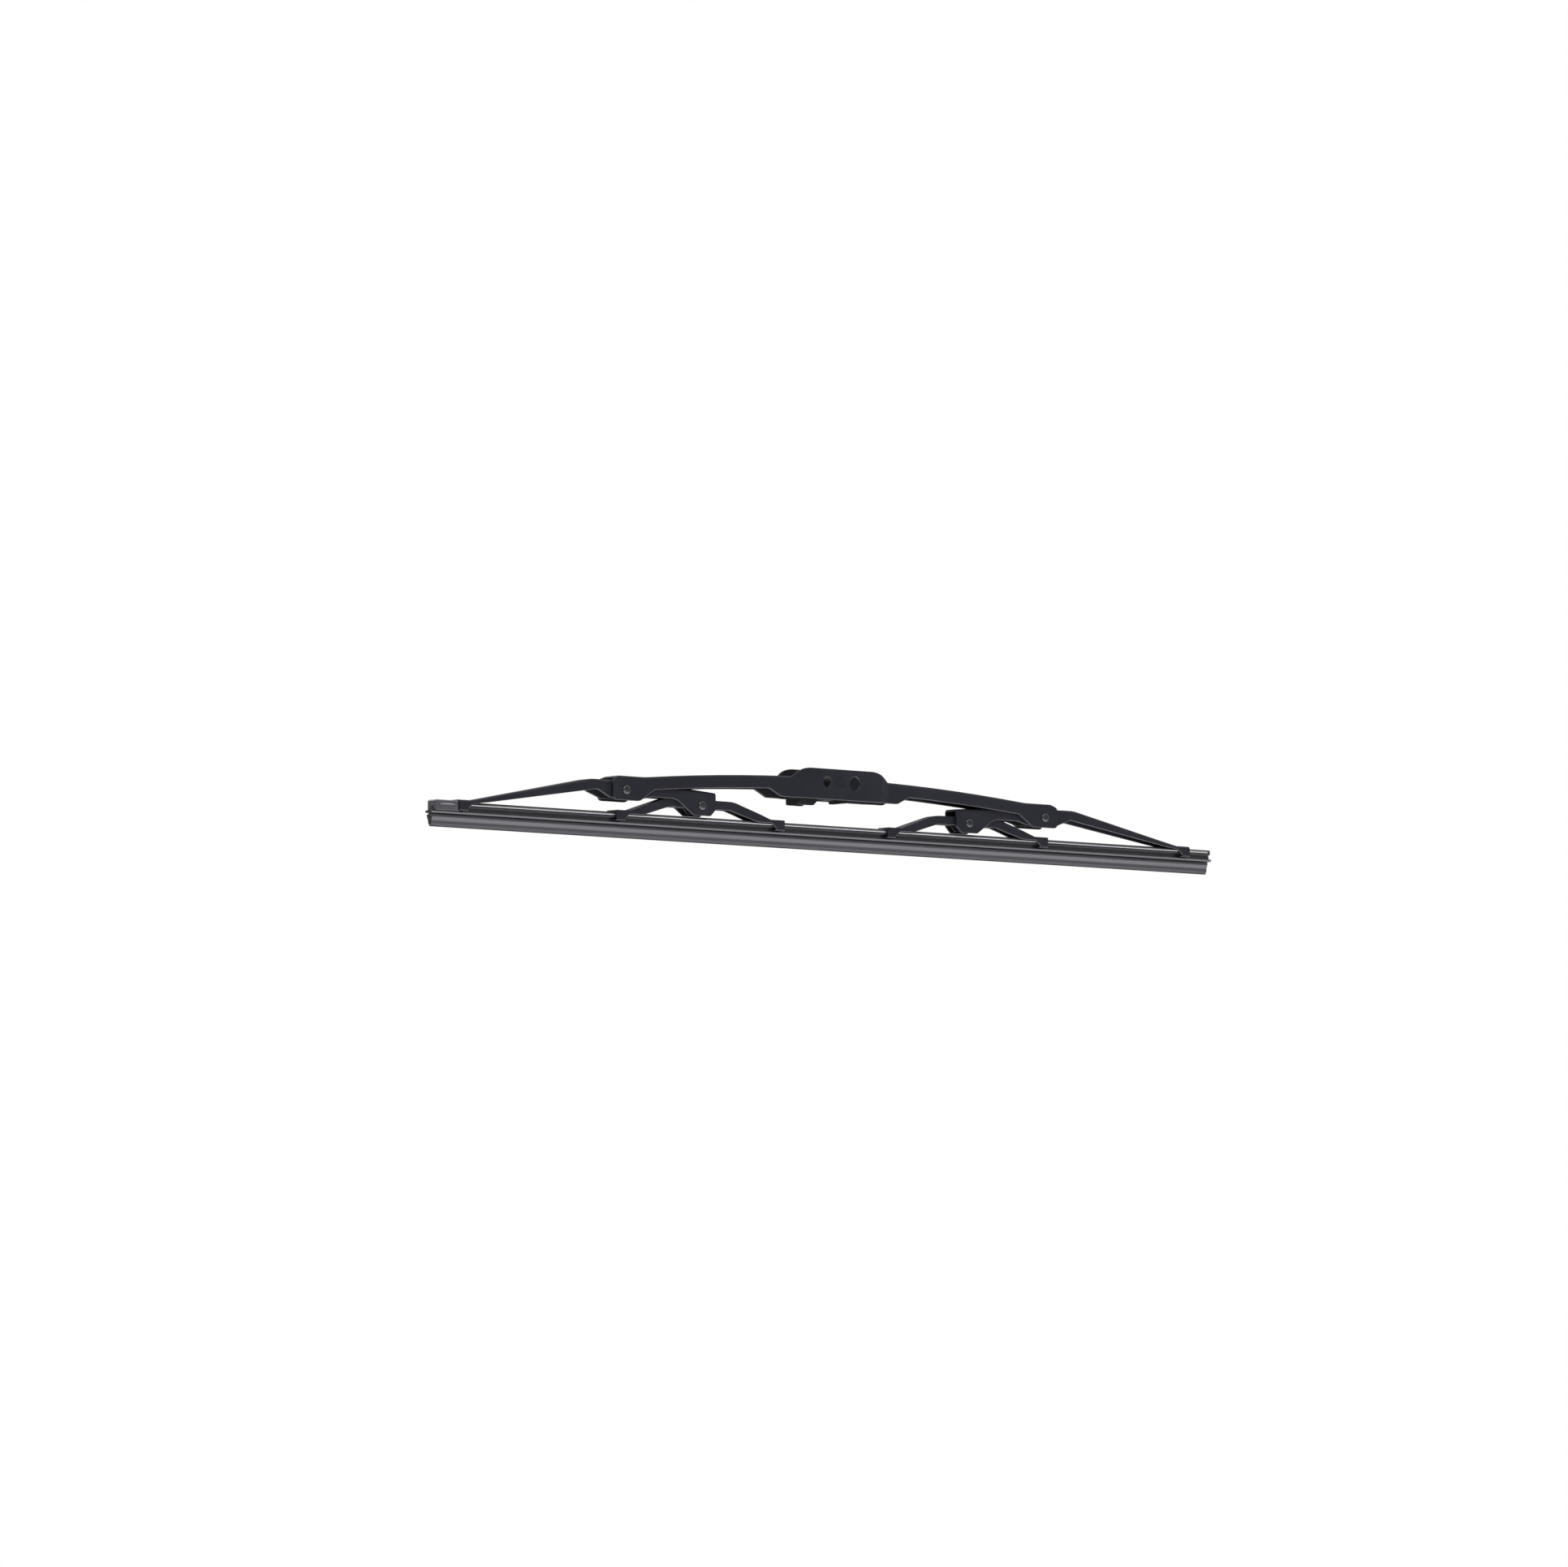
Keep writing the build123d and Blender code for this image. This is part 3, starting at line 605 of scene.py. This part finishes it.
# from the lid's middle out to the wall and down it, as a share of the way out and a depth below the top;
# the inside comes back the same way, a sheet's thickness in
def clipProfile(setup):
    steps = setup["steps"]
    turn = np.linspace(0.0, math.pi / 2, steps["brow"])
    depth = setup["top"] - setup["wallLow"]

    def layer(inset):
        wide, brow = setup["halfWidth"] - inset, setup["brow"] - inset
        lid = np.linspace(0.0, wide - brow, steps["lid"])[:-1]
        drop = np.linspace(inset + brow, depth, steps["drop"])[1:]
        flat = np.stack([lid, np.full_like(lid, inset)], axis=1)
        bend = np.stack([wide - brow + brow * np.sin(turn), inset + brow - brow * np.cos(turn)], axis=1)
        wall = np.stack([np.full_like(drop, wide), drop], axis=1)
        return np.concatenate([flat, bend, wall]) / (setup["halfWidth"], 1.0)

    return np.concatenate([layer(0.0), layer(setup["sheet"])[::-1]])


# each point lies between its mate on the lid's middle line and the outline, by the profile's share; with
# u the place along the groove and v the height from its middle over a half height that thins by 1 - u * u,
# the groove is pressed in by deep * (1 - |v|), and less towards its ends
def clipGrid(setup):
    path, profile, groove = clipPath(setup), clipProfile(setup), setup["groove"]
    spine = np.maximum(path[:, 0], setup["left"] + setup["halfWidth"])
    mates = np.stack([spine, np.zeros_like(spine)], axis=1)
    flat = mates[None] + profile[:, :1, None] * (path - mates)[None]
    onTab = np.abs(path[:, 1]) < setup["halfWidth"] - setup["corner"] / 2
    wallDeep, tabDeep = setup["top"] - setup["wallLow"], setup["top"] - setup["tabLow"]
    shorter = np.where(onTab, tabDeep / wallDeep, 1.0)
    high = setup["top"] - profile[:, 1:] * shorter[None]
    u = (flat[:, :, 0] - groove["x"]) / groove["halfLong"]
    thin = np.clip(1 - u * u, groove["thinnest"], 1.0)
    v = (high - groove["z"]) / (groove["halfTall"] * thin)
    press = groove["deep"] * np.clip(1 - np.abs(v), 0.0, 1.0) * np.sqrt(thin) * (np.abs(u) < 1)
    flat[:, :, 1] -= np.sign(flat[:, :, 1]) * press * (profile[:, :1] > groove["wallShare"])
    return np.concatenate([flat, high[:, :, None]], axis=2)


def pressClip(setup):  # rows follow the profile, columns the outline
    grid = clipGrid(setup)
    rows, columns = grid.shape[:2]
    faces = gridFaces(rows, columns, wrap=False)
    first = np.arange(rows) * columns
    faces += [first.tolist(), (first + columns - 1).tolist()]  # the sheet's cut edge at the open end
    return meshPiece("pressed_clip", grid.reshape(-1, 3), faces, "clip_steel", sharpAngle=35.0)


clip = pressClip(clipSetup)
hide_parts("end_clip")
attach(clip, "left_secondary")
print("clip made")


# a profile turned about an axis along Y: point (i, j) is at the profile's radius i and Y, at angle j
def turnAboutY(name, profile, x, z, slot, finish, segments=48):
    angle = np.arange(segments) * (2 * math.pi / segments)
    grid = np.empty((len(profile), segments, 3))
    grid[:, :, 0] = x + profile[:, :1] * np.cos(angle)[None]
    grid[:, :, 1] = profile[:, 1:]
    grid[:, :, 2] = z + profile[:, :1] * np.sin(angle)[None]
    faces = gridFaces(len(profile), segments, wrap=True) + endCaps(len(profile), segments)
    return meshPiece(name, grid.reshape(-1, 3), faces, slot, sharpAngle=30.0, finish=finish)


headSetup = {"steps": 10, "chamfer": 0.00008}  # every pin's head; the chamfer is under its rim


# at an angle s, from nothing at the rim to a quarter turn at the middle, the dome's radius is rim times
# cos(s) to the power of its flatness, and its height rises from the rim's edge to the top with sin(s)
def headProfile(setup):
    rim, chamfer = setup["rim"], headSetup["chamfer"]
    s = np.linspace(0.0, 1.0, headSetup["steps"])[:-1] * (math.pi / 2)
    radius = rim * np.cos(s) ** setup["flatness"]
    height = setup["edge"] + (setup["height"] - setup["edge"]) * np.sin(s)
    under = np.array([[setup["shank"], 0.0], [rim - chamfer, 0.0], [rim, chamfer]])
    return np.concatenate([under, np.stack([radius, height], axis=1)])


def pinProfile(setup):  # a head outwards from each end of the span, with the shank between them
    head = headProfile(setup)
    near = np.stack([head[:, 0], -setup["span"] / 2 - head[:, 1]], axis=1)
    far = np.stack([head[:, 0], setup["span"] / 2 + head[:, 1]], axis=1)
    return np.concatenate([near[::-1], far])


rivetSetup = {
    "lever": {"x": 0.12766667, "z": -0.0097, "span": 0.0118, "body": "primary"},
    "yoke": {"x": 0.0815, "z": -0.0145, "span": 0.0084, "body": "secondary"},
    "head": {"shank": 0.0016, "rim": 0.00215, "edge": 0.00015, "height": 0.0008, "flatness": 0.8},
}
for hand, side in (("left", -1), ("right", 1)):
    for kind in ("lever", "yoke"):
        own = rivetSetup[kind]
        profile = pinProfile({**rivetSetup["head"], "span": own["span"]})
        rivet = turnAboutY(
            f"{hand}_{kind}_domed_rivet", profile, side * own["x"], own["z"], "painted_steel", rivetFinish
        )
        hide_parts(f"{hand}_{kind}_rivet")
        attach(rivet, "primary" if own["body"] == "primary" else f"{hand}_secondary")

hookPinSetup = {
    "shank": 0.0025,
    "rim": 0.0033,
    "edge": 0.00012,
    "height": 0.00024,
    "flatness": 0.35,
    "span": 0.0142,
}
hookPin = turnAboutY("domed_hook_pin", pinProfile(hookPinSetup), 0.0, 0.0, "painted_steel", pinFinish)
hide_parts("hook_pin")
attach(hookPin, "primary")
print("rivets and pin made")


# floor, light and background
studio = {
    "floorDrop": 0.50,
    "floorSize": 12.0,
    "floorGap": 0.001,  # between the lit floor and the one that is seen
    "floorColour": (0.90, 0.90, 0.90),
    "floorRoughness": 0.8,
    "floorMirrored": 0.15,
    "floorFade": (0.8, 3.2),  # metres from the middle, where it gives way to the background
    "ambient": 0.45,
    "frontRoom": 0.28,  # how bright the mirrored room is in front
    "frontSpan": (-0.55, 0.25),  # it brightens between these, by a direction's Y and steepness
    "leftRoom": 0.04,  # and at the left
    "leftSpan": (-0.60, 0.10),  # by a direction's X
    "lamps": {  # place, aim, length and width, watts
        "keyLamp": ((-1.6, -2.2, 2.0), (0, 0, 0), (1.8, 1.8), 70.0),
        "rimLamp": ((-1.8, 2.4, 1.8), (0, 0, 0), (2.2, 2.2), 45.0),
        "lowLamp": ((0.3, -0.40, -0.44), (0.3, 0, 0), (2.4, 0.45), 6.6),
    },
}
white = (1.0, 1.0, 1.0, 1.0)


def softStep(tree, span, low):  # rises smoothly from low to 1 over the span
    values = {"From Min": span[0], "From Max": span[1], "To Min": low, "To Max": 1.0}
    return addNode(tree, "ShaderNodeMapRange", values, interpolation_type="SMOOTHSTEP")


# pale, lifted towards white where it is mirrored, clear from below, and seen only near the blade
def makeFloorFinish(setup):
    finish = bpy.data.materials.new("paleFloor")
    finish.use_nodes = True
    tree = finish.node_tree
    shader = tree.nodes["Principled BSDF"]
    shader.inputs["Base Color"].default_value = (*setup["floorColour"], 1.0)
    shader.inputs["Roughness"].default_value = setup["floorRoughness"]
    shader.inputs["Emission Color"].default_value = white
    path = addNode(tree, "ShaderNodeLightPath")
    own = addNode(tree, "ShaderNodeNewGeometry")
    place = addNode(tree, "ShaderNodeTexCoord")
    lift = addNode(tree, "ShaderNodeMath", {1: setup["floorMirrored"]}, operation="MULTIPLY")
    away = addNode(tree, "ShaderNodeVectorMath", operation="LENGTH")
    fade = softStep(tree, setup["floorFade"], 0.0)
    faded = addNode(tree, "ShaderNodeMath", operation="MULTIPLY")
    clear = addNode(tree, "ShaderNodeMath", operation="MAXIMUM")
    solid = addNode(tree, "ShaderNodeMath", {0: 1.0}, operation="SUBTRACT")
    link = tree.links.new
    link(path.outputs["Is Glossy Ray"], lift.inputs[0])
    link(lift.outputs[0], shader.inputs["Emission Strength"])
    link(place.outputs["Object"], away.inputs[0])
    link(away.outputs["Value"], fade.inputs["Value"])
    link(fade.outputs[0], faded.inputs[0])
    link(path.outputs["Is Camera Ray"], faded.inputs[1])
    link(own.outputs["Backfacing"], clear.inputs[0])
    link(faded.outputs[0], clear.inputs[1])
    link(clear.outputs[0], solid.inputs[1])
    link(solid.outputs[0], shader.inputs["Alpha"])
    return finish


def makeFloor(name, height, size, finish):
    corners = size / 2 * np.array([(-1, -1), (1, -1), (1, 1), (-1, 1)])
    mesh = bpy.data.meshes.new(name)
    points = np.column_stack([corners, np.full(len(corners), height)])
    mesh.from_pydata(points.tolist(), [], [(0, 1, 2, 3)])
    mesh.materials.append(finish)
    floor = bpy.data.objects.new(name, mesh)
    bpy.context.scene.collection.objects.link(floor)
    return floor


# one floor throws light and is mirrored; the other, just above it, is what the camera sees, and the low
# lamp, which stands close to it, leaves no pool of light there
def makeFloors(setup):
    finish = makeFloorFinish(setup)
    floor = makeFloor("floor", -setup["floorDrop"], setup["floorSize"], finish)
    floor.visible_camera = False
    shown = makeFloor("shownFloor", setup["floorGap"] - setup["floorDrop"], setup["floorSize"], finish)
    shown.visible_diffuse = shown.visible_glossy = shown.visible_transmission = shown.visible_shadow = False
    return shown


def makeLamp(name, place, aim, size, watts):
    data = bpy.data.lights.new(name, "AREA")
    data.shape, data.energy = "RECTANGLE", watts
    data.size, data.size_y = size
    lamp = bpy.data.objects.new(name, data)
    bpy.context.scene.collection.objects.link(lamp)
    lamp.visible_camera = False  # the lamps stand between the viewer and the blade
    back = np.array(place, float) - np.array(aim, float)
    back /= np.linalg.norm(back)
    side = np.cross((0.0, 0.0, 1.0), back)
    side /= np.linalg.norm(side)
    turn = np.eye(4)
    turn[:3, :3] = np.stack([side, np.cross(back, side), back], axis=1)
    turn[:3, 3] = place
    lamp.matrix_world = Matrix(turn.tolist())
    return lamp


def skipLight(lamp, piece):  # the lamp lights everything but the piece
    skipped = bpy.data.collections.new(lamp.name + "Skips")
    skipped.objects.link(piece)
    skipped.collection_objects[0].light_linking.link_state = "EXCLUDE"
    lamp.light_linking.receiver_collection = skipped


# white where it is seen directly; as a mirrored room it is white behind, above and below, dimmer in front
# and dark at the left
def makeWorld(setup):
    world = bpy.data.worlds.new("studio")
    bpy.context.scene.world = world
    world.use_nodes = True
    tree = world.node_tree
    light = tree.nodes["Background"]
    light.inputs["Color"].default_value = white
    path = addNode(tree, "ShaderNodeLightPath")
    way = addNode(tree, "ShaderNodeTexCoord")
    parts = addNode(tree, "ShaderNodeSeparateXYZ")
    height = addNode(tree, "ShaderNodeMath", operation="ABSOLUTE")
    front = addNode(tree, "ShaderNodeMath", operation="ADD")
    room = softStep(tree, setup["frontSpan"], setup["frontRoom"])
    left = softStep(tree, setup["leftSpan"], setup["leftRoom"])
    whole = addNode(tree, "ShaderNodeMath", operation="MULTIPLY")
    mirrored = addNode(tree, "ShaderNodeMath", operation="MAXIMUM")
    asLight = addNode(tree, "ShaderNodeMix", {"A": setup["ambient"]})
    strength = addNode(tree, "ShaderNodeMix", {"B": 1.0})
    link = tree.links.new
    link(way.outputs["Generated"], parts.inputs[0])
    link(parts.outputs["Z"], height.inputs[0])
    link(parts.outputs["X"], left.inputs["Value"])
    link(parts.outputs["Y"], front.inputs[0])
    link(height.outputs[0], front.inputs[1])
    link(front.outputs[0], room.inputs["Value"])
    link(path.outputs["Is Glossy Ray"], mirrored.inputs[0])
    link(path.outputs["Is Transmission Ray"], mirrored.inputs[1])
    link(mirrored.outputs[0], asLight.inputs["Factor"])
    link(room.outputs[0], whole.inputs[0])
    link(left.outputs[0], whole.inputs[1])
    link(whole.outputs[0], asLight.inputs["B"])
    link(path.outputs["Is Camera Ray"], strength.inputs["Factor"])
    link(asLight.outputs["Result"], strength.inputs["A"])
    link(strength.outputs["Result"], light.inputs["Strength"])


shownFloor = makeFloors(studio)
lamps = {name: makeLamp(name, *lamp) for name, lamp in studio["lamps"].items()}
skipLight(lamps["lowLamp"], shownFloor)
makeWorld(studio)
print("studio made")
